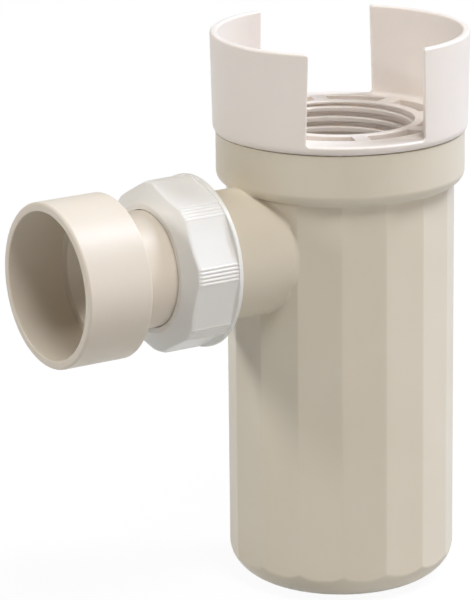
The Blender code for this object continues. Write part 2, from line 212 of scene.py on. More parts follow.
def arc(centre: tuple[float, float], wide: float, high: float, start: float, end: float,
        steps: int) -> Profile:
    """Points of part of an ellipse.

    Args:
        centre: Its centre, as (radius, height).
        wide: Half its width.
        high: Half its height.
        start: Angle of the first point, in degrees.
        end: Angle of the last point, in degrees.
        steps: Segments between them.

    Returns:
        The points, in order.
    """
    angles = np.radians(np.linspace(start, end, steps + 1))
    return [(centre[0] + wide * math.cos(a), centre[1] + high * math.sin(a)) for a in angles]


def bend(first: np.ndarray, corner: np.ndarray, last: np.ndarray, steps: int) -> list[np.ndarray]:
    """A soft bend that leaves one line and joins another.

    Args:
        first: Where it starts.
        corner: Where the two lines would meet.
        last: Where it ends.
        steps: Segments in the bend.

    Returns:
        Its points, without the first and the last one.
    """
    parts = [step / steps for step in range(1, steps)]
    return [(1 - t) ** 2 * first + 2 * t * (1 - t) * corner + t * t * last for t in parts]


def even_columns(count: int) -> np.ndarray:
    """Angles of evenly spaced columns round an axis, without the closing one."""
    return np.arange(count) * TURN / count


def spun(radii: np.ndarray, heights: np.ndarray, angles: np.ndarray) -> np.ndarray:
    """Points at radii and heights round the axis.

    Args:
        radii: Radius of each point, of row by column, or of row by 1 for even rings.
        heights: Height of each point, in the same order.
        angles: Angle of each column.

    Returns:
        A grid of points, of row by column.
    """
    flat = (radii * np.cos(angles), radii * np.sin(angles))
    return np.stack(np.broadcast_arrays(*flat, heights), axis=-1)


def rings(profile: Profile, angles: np.ndarray) -> np.ndarray:
    """Turn an outline round the axis.

    Args:
        profile: Points of (radius, height).
        angles: Angles of the columns.

    Returns:
        A grid of points, of outline point by column.
    """
    outline = np.array(profile)
    return spun(outline[:, :1], outline[:, 1:], angles)


@dataclass
class Thread:
    """A moulded screw thread that runs out into a plain ring at both ends.

    Its ridges stand out by the depth, or into a bore where the depth is negative. The
    ridge share is how much of the pitch a ridge takes, and the steepness is that of the
    flanks.
    """

    radius: float
    low: float
    high: float
    pitch: float
    depth: float
    rows_per_pitch: int = 10
    run_out: float = 0.8 * MM
    steepness: float = 1.8
    ridge_share: float = 0.5

    def grid(self, angles: np.ndarray) -> tuple[np.ndarray, int]:
        """Rings of points that climb with the thread.

        Args:
            angles: Angles of the columns.

        Returns:
            The grid of points, and by how many rows it climbs in one turn.
        """
        climb = self.rows_per_pitch
        step = self.pitch / climb
        count = climb + 1 + math.ceil((self.high - self.low) / step)
        rows = np.arange(count)[:, None]
        raw = self.low + (rows - climb + climb * angles[None] / TURN) * step
        heights = np.clip(raw, self.low, self.high)
        wave = 0.5 - 0.5 * np.cos(TURN * rows / climb)
        middle = 0.5 - 0.5 * math.cos(math.pi * (1.0 - self.ridge_share))
        share = np.clip((wave - middle) * self.steepness + 0.5, 0.0, 1.0)
        ends = np.minimum(heights - self.low, self.high - heights) / self.run_out
        radii = self.radius + self.depth * share * np.clip(ends, 0.0, 1.0)
        return spun(radii, heights, angles), climb


def new_object(name: str, data: bpy.types.ID) -> bpy.types.Object:
    """Put a new object into the scene.

    Args:
        name: Its name.
        data: Its mesh, lamp or camera.

    Returns:
        The new object.
    """
    obj = bpy.data.objects.new(name, data)
    bpy.context.scene.collection.objects.link(obj)
    return obj


class Skin:
    """Surfaces that are welded into one closed mesh."""

    weld_distance = 2e-7

    def __init__(self, axis: Axis, outlet_z: float) -> None:
        """Start an empty skin.

        Args:
            axis: The axis that it is built about.
            outlet_z: Height of the outlet axis.
        """
        self.axis = axis
        self.outlet_z = outlet_z
        self.points: list[np.ndarray] = []
        self.faces: list[np.ndarray] = []
        self.count = 0

    def add_grid(self, grid: np.ndarray, climb: int = 0) -> "Skin":
        """Add a grid of points that closes on itself round the axis.

        Args:
            grid: Points of row by column.
            climb: How many rows up the last column meets the first one.

        Returns:
            The skin itself.
        """
        rows, columns = grid.shape[:2]
        index = np.arange(rows * columns).reshape(rows, columns) + self.count
        inner = np.stack((index[:-1, :-1], index[:-1, 1:], index[1:, 1:], index[1:, :-1]), -1)
        last = rows - 1 - climb
        seam = np.stack((index[:last, -1], index[climb:climb + last, 0],
                         index[climb + 1:climb + 1 + last, 0], index[1:last + 1, -1]), -1)
        self.points.append(placed(grid, self.axis, self.outlet_z).reshape(-1, 3))
        self.faces += [inner.reshape(-1, 4), seam.reshape(-1, 4)]
        self.count += rows * columns
        return self

    def build(self, name: str, capped: bool = False) -> bpy.types.Object:
        """Weld the surfaces and put them into the scene.

        Args:
            name: The object's name.
            capped: Whether its open ends are closed.

        Returns:
            The new object.
        """
        mesh = bpy.data.meshes.new(name)
        faces = np.concatenate(self.faces).tolist()
        mesh.from_pydata(np.concatenate(self.points).tolist(), [], faces)
        bm = bmesh.new()
        bm.from_mesh(mesh)
        bmesh.ops.remove_doubles(bm, verts=bm.verts, dist=self.weld_distance)
        if capped:
            bmesh.ops.holes_fill(bm, edges=[e for e in bm.edges if e.is_boundary])
        bmesh.ops.recalc_face_normals(bm, faces=bm.faces)
        bm.to_mesh(mesh)
        bm.free()
        return new_object(name, mesh)


def turned(name: str, axis: Axis, outlet_z: float, corners: Sequence[Corner], columns: int,
           steps: int = 4) -> bpy.types.Object:
    """Turn a closed section round an axis into a ring.

    Args:
        name: The object's name.
        axis: The axis that it is turned about.
        outlet_z: Height of the outlet axis.
        corners: Corners of its section, as (radius, height, rounding).
        columns: Columns round the ring.
        steps: Segments of each rounding.

    Returns:
        The new object.
    """
    outline = eased(corners, steps, closed=True)
    grid = rings(outline + outline[:1], even_columns(columns))
    return Skin(axis, outlet_z).add_grid(grid).build(name)


def settle(obj: bpy.types.Object) -> None:
    """Apply an object's modifiers to its mesh, so that its final form is plain.

    Args:
        obj: The object.
    """
    depsgraph = bpy.context.evaluated_depsgraph_get()
    mesh = bpy.data.meshes.new_from_object(obj.evaluated_get(depsgraph))
    obj.modifiers.clear()
    old, obj.data = obj.data, mesh
    bpy.data.meshes.remove(old)
    mesh.name = obj.name


def combine(target: bpy.types.Object, tool: bpy.types.Object, how: Cut) -> None:
    """Join a tool solid to a piece or cut it away, and use the tool up.

    Args:
        target: The piece.
        tool: The solid that meets it.
        how: Whether it is added or removed.
    """
    modifier = target.modifiers.new(tool.name, "BOOLEAN")
    modifier.operation = how.value
    modifier.solver = "EXACT"
    modifier.object = tool
    settle(target)
    mesh = tool.data
    bpy.data.objects.remove(tool)
    bpy.data.meshes.remove(mesh)


def linear(colour: str) -> tuple[float, float, float, float]:
    """Turn an sRGB hex colour into linear light.

    Args:
        colour: Six hex digits, such as "D6CABE".

    Returns:
        Red, green, blue and an alpha of 1.
    """
    shares = [int(colour[i:i + 2], 16) / 255.0 for i in (0, 2, 4)]
    light = [s / 12.92 if s <= 0.04045 else ((s + 0.055) / 1.055) ** 2.4 for s in shares]
    return (light[0], light[1], light[2], 1.0)


def add_node(tree: bpy.types.NodeTree, kind: str, settings: dict[str, object] | None = None,
             inputs: dict[str | int, object] | None = None) -> bpy.types.Node:
    """Add a node with its settings and its input values or links.

    Args:
        tree: The node tree.
        kind: The node's type name.
        settings: Values of the node's own properties.
        inputs: For each input, a value or the output socket that feeds it.

    Returns:
        The new node.
    """
    node = tree.nodes.new(kind)
    for key, value in (settings or {}).items():
        setattr(node, key, value)
    for key, value in (inputs or {}).items():
        if isinstance(value, bpy.types.NodeSocket):
            tree.links.new(value, node.inputs[key])
        else:
            node.inputs[key].default_value = value
    return node


@dataclass(frozen=True)
class MouldedPlastic:
    """Polypropylene, injection moulded: a satin skin with a faint orange peel.

    The eye sees soft, wide highlights, edges that glow a little where light passes
    through the wall, and a tint that drifts slowly over the piece.
    """

    name: str
    colour: str
    flow_colour: str
    roughness: float = 0.40
    roughness_spread: float = 0.07
    ior: float = 1.49
    subsurface: float = 0.12
    subsurface_depth_mm: float = 1.2
    flow_size_mm: float = 28.0
    peel_size_mm: float = 1.6
    peel_height_mm: float = 0.010
    grain_size_mm: float = 0.55
    grain_height_mm: float = 0.004
    scatter: tuple[float, float, float] = (1.0, 0.75, 0.5)

    def dress(self, tree: bpy.types.NodeTree) -> None:
        """Add the nodes of the finish to a material.

        Args:
            tree: The material's empty node tree.
        """
        place = add_node(tree, "ShaderNodeTexCoord").outputs["Object"]
        # The melt cools unevenly, so the tint and the gloss drift over a few centimetres.
        flow = add_node(tree, "ShaderNodeTexNoise", {"noise_dimensions": "3D"}, {
            "Vector": place, "Scale": 1.0 / (self.flow_size_mm * MM), "Detail": 3.0,
            "Roughness": 0.45, "Distortion": 0.6})
        tint = add_node(tree, "ShaderNodeMix", {"data_type": "RGBA"}, {
            0: flow.outputs["Fac"], 6: linear(self.colour), 7: linear(self.flow_colour)})
        gloss = add_node(tree, "ShaderNodeMapRange", {}, {
            "Value": flow.outputs["Fac"], "To Min": self.roughness - self.roughness_spread,
            "To Max": self.roughness + self.roughness_spread})
        # Orange peel from the mould's polish, and the finer grain of its steel on top.
        peel = add_node(tree, "ShaderNodeTexNoise", {}, {
            "Vector": place, "Scale": 1.0 / (self.peel_size_mm * MM), "Detail": 1.0})
        grain = add_node(tree, "ShaderNodeTexNoise", {}, {
            "Vector": place, "Scale": 1.0 / (self.grain_size_mm * MM), "Detail": 2.0})
        coarse = add_node(tree, "ShaderNodeBump", {}, {
            "Height": peel.outputs["Fac"], "Distance": self.peel_height_mm * MM,
            "Strength": 1.0})
        fine = add_node(tree, "ShaderNodeBump", {}, {
            "Height": grain.outputs["Fac"], "Distance": self.grain_height_mm * MM,
            "Strength": 1.0, "Normal": coarse.outputs["Normal"]})
        surface = add_node(tree, "ShaderNodeBsdfPrincipled", {}, {
            "Base Color": tint.outputs[2], "Roughness": gloss.outputs["Result"],
            "Normal": fine.outputs["Normal"], "IOR": self.ior, "Metallic": 0.0,
            "Subsurface Weight": self.subsurface, "Subsurface Radius": self.scatter,
            "Subsurface Scale": self.subsurface_depth_mm * MM})
        add_node(tree, "ShaderNodeOutputMaterial", {}, {"Surface": surface.outputs[0]})


@dataclass(frozen=True)
class SheetRubber:
    """EPDM rubber, cut from calendered sheet: matt black with a fine dusty grain.

    The eye sees no highlight, only dark rings whose grain catches a little light.
    """

    name: str
    colour: str = "26261F"
    dust_colour: str = "3C3B36"
    roughness: float = 0.72
    ior: float = 1.52
    grain_size_mm: float = 0.6
    grain_height_mm: float = 0.02

    def dress(self, tree: bpy.types.NodeTree) -> None:
        """Add the nodes of the finish to a material.

        Args:
            tree: The material's empty node tree.
        """
        place = add_node(tree, "ShaderNodeTexCoord").outputs["Object"]
        grain = add_node(tree, "ShaderNodeTexNoise", {}, {
            "Vector": place, "Scale": 1.0 / (self.grain_size_mm * MM), "Detail": 4.0})
        tint = add_node(tree, "ShaderNodeMix", {"data_type": "RGBA"}, {
            0: grain.outputs["Fac"], 6: linear(self.colour), 7: linear(self.dust_colour)})
        bump = add_node(tree, "ShaderNodeBump", {}, {
            "Height": grain.outputs["Fac"], "Distance": self.grain_height_mm * MM,
            "Strength": 1.0})
        surface = add_node(tree, "ShaderNodeBsdfPrincipled", {}, {
            "Base Color": tint.outputs[2], "Roughness": self.roughness,
            "Normal": bump.outputs["Normal"], "IOR": self.ior, "Metallic": 0.0})
        add_node(tree, "ShaderNodeOutputMaterial", {}, {"Surface": surface.outputs[0]})


# Ivory batches of one plastic: the cap is the palest, the tube, which no light fades, the
# most yellow.
BOTTLE_IVORY = MouldedPlastic("polypropylene_moulded_ivory_bottle", "DCD2C1", "D6CCB8")
CAP_IVORY = MouldedPlastic("polypropylene_moulded_ivory_cap", "F0E7E0", "EAE1D8")
TAIL_IVORY = MouldedPlastic("polypropylene_moulded_ivory_tail", "DED3C4", "D8CDBD",
                            roughness=0.42)
TUBE_IVORY = MouldedPlastic("polypropylene_moulded_ivory_tube", "DDD3C2", "D5CAB6",
                            roughness=0.44)
# The nut is moulded in a near white, with a tighter, glossier skin.
NUT_WHITE = MouldedPlastic("polypropylene_moulded_white_nut", "EBE8E3", "E7E4DE",
                           roughness=0.34, peel_height_mm=0.008)
CAP_SEAL_RUBBER = SheetRubber("epdm_rubber_sheet_cap_seal")
INLET_WASHER_RUBBER = SheetRubber("epdm_rubber_sheet_inlet_washer")
OUTLET_SEAL_RUBBER = SheetRubber("epdm_rubber_sheet_outlet_seal")


def finish_piece(obj: bpy.types.Object, node: str, body: Body,
                 finish: MouldedPlastic | SheetRubber) -> None:
    """Give a piece its finish, shade it and set it on its body.

    Args:
        obj: The piece, in place.
        node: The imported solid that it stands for.
        body: The body that it rides on.
        finish: What it is made of.
    """
    material = bpy.data.materials.new(finish.name)
    material.use_nodes = True
    material.diffuse_color = linear(finish.colour)
    material.node_tree.nodes.clear()
    finish.dress(material.node_tree)
    obj.data.materials.clear()
    obj.data.materials.append(material)
    obj.data.shade_smooth()
    obj.data.set_sharp_from_angle(angle=SHARP_ANGLE)
    weighted = obj.modifiers.new("flat_faces", "WEIGHTED_NORMAL")
    weighted.keep_sharp = True
    settle(obj)
    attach(obj, body.value)
    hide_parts(node)
    LOG.info("%s: %d faces on %s", obj.name, len(obj.data.polygons), body.value)


@dataclass
class Bottle:
    """Faceted bottle with its rounded base, its collar and its threaded branch."""

    layout: Layout
    flats: int = 16
    inset: float = 2.9 * MM
    wall: float = 2.4 * MM
    base_thickness: float = 2.5 * MM
    base_round_width: float = 12.0 * MM
    base_round_height: float = 11.5 * MM
    blank_margin: float = 0.4 * MM
    corner_run: float = 0.35 * MM
    soft_run: float = 0.6 * MM
    # The collar round the bottle's mouth, with its curved underside and its inside.
    collar_side: float = 11.4 * MM
    collar_underside: float = 3.5 * MM
    collar_root: float = 0.15 * MM
    collar_wall: float = 2.5 * MM
    collar_depth: float = 11.8 * MM
    collar_edge: float = 0.3 * MM
    collar_pitch: float = 4.0 * MM
    collar_lead: float = 0.8 * MM
    collar_mouth: float = 1.2 * MM
    collar_chamfer: float = 0.4 * MM
    collar_chamfer_depth: float = 0.5 * MM
    ledge_rise: float = 5.0 * MM
    # The branch, from the fillet at its root to the chamfer at its mouth.
    branch_bore: float = 15.6 * MM
    branch_wall: float = 2.65 * MM
    branch_fillet: float = 0.9 * MM
    fillet_sink: float = 0.03 * MM
    branch_thread: float = 8.0 * MM
    branch_pitch: float = 3.0 * MM
    branch_neck: float = 2.0 * MM
    branch_shoulder: float = 0.8 * MM
    branch_shoulder_round: float = 0.5 * MM
    branch_lead: float = 0.5 * MM
    branch_tip: float = 0.6 * MM
    branch_chamfer: float = 0.4 * MM
    thread_depth: float = 0.9 * MM
    corner_round: float = 0.3 * MM
    # How far the tool solids run past what they cut.
    overrun: float = 1.0 * MM
    # How finely the forms are divided. The bore's columns stand between the branch's.
    bend_steps: int = 4
    base_steps: int = 14
    cavity_steps: int = 12
    underside_points: int = 9
    fillet_points: int = 7
    surface_passes: int = 6
    columns_per_flat: int = 8
    outlet_columns: int = 144
    bore_twist: float = math.pi / 140.0

    def __post_init__(self) -> None:
        """Work out the radii and heights that follow from the sizes."""
        self.corner_radius = self.layout.collar_radius - self.inset
        self.apothem = self.corner_radius * math.cos(math.pi / self.flats)
        self.cavity_radius = self.apothem - self.wall
        self.base_flat = self.corner_radius - self.base_round_width
        self.side_z = self.layout.bottle_top - self.collar_side
        self.ledge_z = self.layout.bottle_top - self.collar_depth
        self.bore_radius = self.layout.collar_radius - self.collar_wall
        self.branch_radius = self.branch_bore + self.branch_wall
        self.branch_start = self.cavity_radius / 2.0

    def columns(self) -> np.ndarray:
        """Angles of the columns: closer together over the corners between the flats.

        Returns:
            The angles, in order.
        """
        pitch = TURN / self.flats
        half_run = self.corner_run / self.corner_radius
        flat_half = self.apothem * math.tan(pitch / 2.0 - half_run)
        across = np.arctan(np.linspace(-flat_half, flat_half, self.columns_per_flat) / self.apothem)
        edge = pitch / 2.0 + np.array((-0.5, 0.0, 0.5)) * half_run
        return np.concatenate([k * pitch + np.concatenate((across, edge))
                               for k in range(self.flats)])

    def flat_radius(self, angles: np.ndarray) -> np.ndarray:
        """Radius of the flats, with each corner between two of them rounded.

        Args:
            angles: Angles round the bottle.

        Returns:
            The radius at each angle.
        """
        pitch = TURN / self.flats
        off = np.abs((angles + pitch / 2.0) % pitch - pitch / 2.0)
        round_radius = self.corner_run / math.tan(pitch / 2.0)
        centre = (self.apothem - round_radius) / math.cos(pitch / 2.0)
        beta = pitch / 2.0 - off
        inside = np.maximum(round_radius ** 2 - (centre * np.sin(beta)) ** 2, 0.0)
        rounded = centre * np.cos(beta) + np.sqrt(inside)
        return np.minimum(self.apothem / np.cos(off), np.where(inside > 0.0, rounded, 1.0))

    def collar_curve(self, angle: float | np.ndarray) -> tuple[np.ndarray, np.ndarray]:
        """Point on the collar's curved underside.

        Args:
            angle: 0 at its root, a quarter turn at the collar's side.

        Returns:
            Its radius and height.
        """
        root = self.apothem - self.collar_root
        wide = self.layout.collar_radius - root
        return root + wide * np.sin(angle), self.side_z - self.collar_underside * np.cos(angle)

    def column_profile(self, flat: float) -> np.ndarray:
        """Outside of the bottle in one column.

        Args:
            flat: Radius of the flats in that column.

        Returns:
            Its points of (radius, height), from the base's middle to the top's middle.
        """
        wide = self.corner_radius + self.blank_margin - self.base_flat
        end = -math.acos((flat - self.base_flat) / wide)
        turn_off = self.soft_run / wide
        ellipse = arc((self.base_flat, self.base_round_height), wide, self.base_round_height,
                      -90.0, math.degrees(end - turn_off), self.base_steps)
        crease_z = self.base_round_height * (1.0 + math.sin(end))
        points = [np.array((0.0, 0.0))] + [np.array(p) for p in ellipse]
        crease = np.array((flat, crease_z))
        above = np.array((flat, crease_z + self.soft_run))
        points += bend(points[-1], crease, above, self.bend_steps) + [above]
        root = self.apothem - self.collar_root
        start = math.asin((flat - root) / (self.layout.collar_radius - root))
        corner = np.array(self.collar_curve(start))
        below = corner - np.array((0.0, self.soft_run))
        after = start + self.soft_run / self.collar_underside
        joined = np.array(self.collar_curve(after))
        points += [below] + bend(below, corner, joined, self.bend_steps)
        points += [np.array(self.collar_curve(a))
                   for a in np.linspace(after, math.pi / 2.0, self.underside_points)]
        edge, top = self.collar_edge, self.layout.bottle_top
        points += [np.array(p) for p in arc((self.layout.collar_radius - edge, top - edge),
                                            edge, edge, 0.0, 90.0, self.bend_steps)]
        return np.array(points + [np.array((0.0, top))])

    def outer_surface_x(self, y: np.ndarray, z: np.ndarray) -> np.ndarray:
        """How far out along -X the bottle's side lies.

        Args:
            y: Sideways places.
            z: Heights.

        Returns:
            The distances from the bottle's axis plane.
        """
        reach = np.full_like(y, self.apothem)
        drop = np.clip((self.side_z - z) / self.collar_underside, 0.0, 1.0)
        root = self.apothem - self.collar_root
        collar = root + (self.layout.collar_radius - root) * np.sqrt(1.0 - drop ** 2)
        for _ in range(self.surface_passes):
            flats = self.flat_radius(np.arctan2(y, -reach))
            radius = np.where(drop < 1.0, np.maximum(flats, collar), flats)
            reach = np.sqrt(np.maximum(radius ** 2 - y ** 2, 0.0))
        return reach

    def branch(self) -> bpy.types.Object:
        """Solid branch with its thread and the fillet at its root.

        Returns:
            The tool solid.
        """
        angles = even_columns(self.outlet_columns)
        fillet, start, end = self.branch_fillet, self.branch_start, self.layout.branch_reach
        thread_start = end - self.branch_thread
        lead, tip = thread_start + self.branch_lead, end - self.branch_tip
        root = self.layout.branch_crest - self.thread_depth
        rows = [(np.zeros_like(angles), np.full_like(angles, start)),
                (np.full_like(angles, self.branch_radius + fillet), np.full_like(angles, start))]
        for turn in np.linspace(0.0, math.pi / 2.0, self.fillet_points):
            radius = np.full_like(angles, self.branch_radius + fillet * (1.0 - math.sin(turn)))
            z = self.layout.outlet_z + radius * np.cos(angles)
            reach = self.outer_surface_x(radius * np.sin(angles), z)
            rows.append((radius, reach - self.fillet_sink + fillet * (1.0 - math.cos(turn))))
        for radius, along in eased([
                (self.branch_radius, thread_start - self.branch_neck, 0.0),
                (self.branch_radius, thread_start - self.branch_shoulder,
                 self.branch_shoulder_round),
                (root, thread_start, self.corner_round), (root, lead, 0.0)]):
            rows.append((np.full_like(angles, radius), np.full_like(angles, along)))
        skin = Skin(Axis.OUTLET, self.layout.outlet_z)
        skin.add_grid(spun(*np.array(rows).swapaxes(0, 1), angles))
        thread = Thread(root, lead, tip, self.branch_pitch, self.thread_depth)
        skin.add_grid(*thread.grid(angles))
        nose = eased([(root, tip, 0.0), (root, end, self.branch_chamfer), (0.0, end, 0.0)])
        return skin.add_grid(rings(nose, angles)).build("branch")

    def cavity(self, angles: np.ndarray) -> bpy.types.Object:
        """The space inside the bottle and its collar, with the collar's thread.

        Args:
            angles: Angles of the columns.

        Returns:
            The tool solid.
        """
        top, bore, ledge = self.layout.bottle_top, self.bore_radius, self.ledge_z
        mouth, chamfer = top - self.collar_mouth, self.collar_chamfer
        low = [(0.0, self.base_thickness)]
        low += arc((self.base_flat, self.base_round_height), self.cavity_radius - self.base_flat,
                   self.base_round_height - self.base_thickness, -90.0, 0.0,
                   self.cavity_steps)
        low += eased([(self.cavity_radius, ledge - self.ledge_rise, 0.0),
                      (self.cavity_radius, ledge, self.corner_round),
                      (bore, ledge, self.corner_round), (bore, ledge + self.collar_lead, 0.0)])
        high = [(bore, mouth), (bore, top - self.collar_chamfer_depth), (bore + chamfer, top),
                (bore + chamfer, top + self.overrun), (0.0, top + self.overrun)]
        thread = Thread(bore, ledge + self.collar_lead, mouth, self.collar_pitch,
                        self.thread_depth, rows_per_pitch=12)
        skin = Skin(Axis.INLET, self.layout.outlet_z).add_grid(rings(low, angles))
        skin.add_grid(*thread.grid(angles))
        return skin.add_grid(rings(high, angles)).build("bottle_cavity")

    def branch_bore_tool(self) -> bpy.types.Object:
        """The bore of the branch, opened at its mouth.

        Returns:
            The tool solid.
        """
        end, bore, chamfer = self.layout.branch_reach, self.branch_bore, self.branch_chamfer
        start = self.branch_start - self.overrun
        profile = [(0.0, start), (bore, start), (bore, end - chamfer), (bore + chamfer, end),
                   (bore + chamfer + self.overrun, end + self.overrun),
                   (0.0, end + self.overrun)]
        angles = even_columns(self.outlet_columns) + self.bore_twist
        skin = Skin(Axis.OUTLET, self.layout.outlet_z).add_grid(rings(profile, angles))
        return skin.build("branch_bore")

    def build(self) -> None:
        """Make the bottle and set it in the scene."""
        angles = self.columns()
        profiles = np.stack([self.column_profile(r) for r in self.flat_radius(angles)], axis=1)
        grid = spun(profiles[..., 0], profiles[..., 1], angles)
        bottle = Skin(Axis.INLET, self.layout.outlet_z).add_grid(grid).build("trap_bottle")
        combine(bottle, self.branch(), Cut.ADD)
        combine(bottle, self.cavity(angles), Cut.REMOVE)
        combine(bottle, self.branch_bore_tool(), Cut.REMOVE)
        finish_piece(bottle, "bottle", Body.BOTTLE, BOTTLE_IVORY)


@dataclass
class InletCap:
    """Screw cap with its threaded hub, its pockets and its two curved wings."""

    layout: Layout
    columns: int = 192
    floor_thickness: float = 2.3 * MM
    web_thickness: float = 7.0 * MM
    web_round: float = 0.6 * MM
    foot_round: float = 1.1 * MM
    foot_steps: int = 8
    edge_round: float = 0.3 * MM
    # The skirt that screws into the collar. The joint over it is nearly closed.
    joint_closed: float = 0.1 * MM
    joint_chamfer: float = 0.3 * MM
    skirt_wall: float = 2.6 * MM
    skirt_pitch: float = 4.0 * MM
    skirt_thread: float = 0.9 * MM
    skirt_lead: float = 0.8 * MM
    # The hub with the inlet thread, from its plain foot to the lip at its rim.
    bore_radius: float = 21.2 * MM
    hub_wall: float = 2.6 * MM
    hub_rise: float = 0.4 * MM
    hub_slope: float = 2.0 * MM
    hub_end_round: float = 0.5 * MM
    slope_round: float = 2.0 * MM
    rim_round: float = 0.45 * MM
    inlet_pitch: float = 3.0 * MM
    inlet_root: float = 0.8 * MM
    inlet_root_round: float = 0.2 * MM
    inlet_thread: float = 1.2 * MM
    inlet_plain: float = 2.95 * MM
    inlet_ease_start: float = 0.5 * MM
    inlet_ease_end: float = 0.9 * MM
    inlet_lip: float = 0.7 * MM
    inlet_lip_round: float = 0.15 * MM
    inlet_lip_slope: float = 0.3 * MM
    inlet_stop: float = 0.1 * MM
    # The wings and the two gaps between them.
    wing_flare: float = 0.5 * MM
    wing_wall: float = 2.2 * MM
    wing_edge: float = 0.7 * MM
    wing_foot: float = 1.0 * MM
    wing_foot_round: float = 0.9 * MM
    gap_width: float = 32.5 * MM
    gap_spread: float = 0.5 * MM
    gap_fillet: float = 1.0 * MM
    gap_top_round: float = 0.9 * MM
    gap_top_flare: float = 2.5
    gap_edge: float = 0.6 * MM
    gap_lift: float = 2.0 * MM
    gap_reach: float = 1.0 * MM
    overcut: float = 3.0 * MM
    floor_skim: float = 0.02 * MM
    turned_by: float = math.radians(-21.8)
    # The blind pockets round the hub, with a rib between each two.
    pockets: int = 8
    pocket_width: float = 5.4 * MM
    pocket_margin: float = 0.8 * MM
    pocket_floor: float = 1.4 * MM
    pocket_edge: float = 0.35 * MM
    pocket_overcut: float = 1.0 * MM
    pocket_overcut_grow: float = 0.5 * MM
    pocket_side_points: int = 9
    rib_width: float = 4.5 * MM

    def __post_init__(self) -> None:
        """Work out the radii and heights that follow from the sizes."""
        self.floor_z = self.layout.cap_joint + self.floor_thickness
        self.web_z = self.floor_z - self.web_thickness
        self.rim_z = self.floor_z + self.hub_rise
        self.hub_radius = self.bore_radius + self.hub_wall
        self.foot_radius = self.layout.wing_radius - self.wing_flare
        self.slope_start = self.hub_radius + self.pocket_width + self.pocket_margin

    def outside(self, z: np.ndarray) -> np.ndarray:
        """Outer radius of the wings at a height."""
        share = (z - self.floor_z) / (self.layout.cap_top - self.floor_z)
        return self.foot_radius + self.wing_flare * share

    def surface_z(self, radius: np.ndarray) -> np.ndarray:
        """Height of the hub's rim and slope at a radius."""
        share = np.clip((radius - self.slope_start) / self.hub_slope, 0.0, 1.0)
        return self.rim_z - self.hub_rise * share

    def blank(self) -> bpy.types.Object:
        """The cap before its gaps and pockets are cut.

        Returns:
            The piece.
        """
        angles = even_columns(self.columns)
        end, top = self.layout.hub_end, self.layout.cap_top
        joint = self.layout.cap_joint - self.joint_closed
        screwed, skirt_end = self.layout.screwed_radius, self.layout.skirt_end
        root, skirt_bore = screwed - self.skirt_thread, screwed - self.skirt_wall
        wing_inside = self.layout.wing_radius - self.wing_wall
        foot_inside = self.foot_radius - self.wing_wall
        bore, inlet_root = self.bore_radius, self.bore_radius + self.inlet_root
        lip = self.rim_z - self.inlet_lip
        thread_low, thread_top = end + self.inlet_plain, lip - self.inlet_lip_slope
        thread_high = thread_top - 2.0 * self.inlet_stop
        under = eased([
            (inlet_root, thread_low, 0.0),
            (inlet_root, thread_low - self.inlet_ease_start, self.inlet_root_round),
            (bore, thread_low - self.inlet_ease_end, self.edge_round),
            (bore, end, self.edge_round), (self.hub_radius, end, self.hub_end_round),
            (self.hub_radius, self.web_z, self.web_round),
            (skirt_bore, self.web_z, self.web_round), (skirt_bore, skirt_end, self.edge_round),
            (root, skirt_end, self.edge_round), (root, skirt_end + self.skirt_lead, 0.0)])
        over = [(root, joint - self.skirt_lead), (root, joint - self.joint_chamfer),
                (root + self.joint_chamfer, joint)]
        over += arc((self.foot_radius - self.foot_round, joint + 2.0 * self.foot_round),
                    self.foot_round, 2.0 * self.foot_round, -90.0, 0.0, self.foot_steps)
        over += eased([
            (self.foot_radius, self.floor_z + self.wing_foot, 0.0),
            (self.layout.wing_radius, top, self.wing_edge), (wing_inside, top, self.wing_edge),
            (foot_inside, self.floor_z, self.wing_foot_round),
            (self.slope_start + self.hub_slope, self.floor_z, self.slope_round),
            (self.slope_start, self.rim_z, self.slope_round), (bore, self.rim_z, self.rim_round),
            (bore, lip, self.inlet_lip_round),
            (inlet_root, thread_top - self.inlet_stop, self.inlet_stop),
            (inlet_root, thread_high, 0.0)])
        skirt_thread = Thread(root, skirt_end + self.skirt_lead, joint - self.skirt_lead,
                              self.skirt_pitch, self.skirt_thread, rows_per_pitch=12)
        inlet_thread = Thread(inlet_root, thread_low, thread_high, self.inlet_pitch,
                              -self.inlet_thread, rows_per_pitch=14, run_out=0.6 * MM,
                              steepness=2.6, ridge_share=0.54)
        skin = Skin(Axis.INLET, self.layout.outlet_z).add_grid(rings(under, angles))
        skin.add_grid(*skirt_thread.grid(angles)).add_grid(rings(over, angles))
        return skin.add_grid(*inlet_thread.grid(angles)).build("trap_inlet_cap")

    def gap_outline(self, grow: float, drop: float) -> Profile:
        """U-shaped outline of a gap between the wings.

        Args:
            grow: How far its sides are pushed out of the gap, into the wings.
            drop: How far its floor is pushed down.

        Returns:
            Points of (across, height), from one top end round to the other.
        """
        half_top = self.gap_width / 2.0 + grow
        half_foot = half_top + self.gap_spread
        top, floor = self.layout.cap_top, self.floor_z + self.floor_skim - drop
        ease, fillet = self.gap_top_round, self.gap_fillet + grow
        side = [(half_top + self.gap_top_flare * ease, top + self.gap_lift)]
        side += [(half_top + ease - x, top - ease + y)
                 for x, y in arc((0.0, 0.0), ease, ease, 75.0, 0.0, 5)]
        side += arc((half_foot - fillet, floor + fillet), fillet, fillet, 0.0, -90.0, 8)
        side += [(float(x), floor) for x in np.linspace(half_foot - fillet, 0.0, 7)[1:-1]]
        return side + [(0.0, floor)] + [(-x, z) for x, z in reversed(side)]

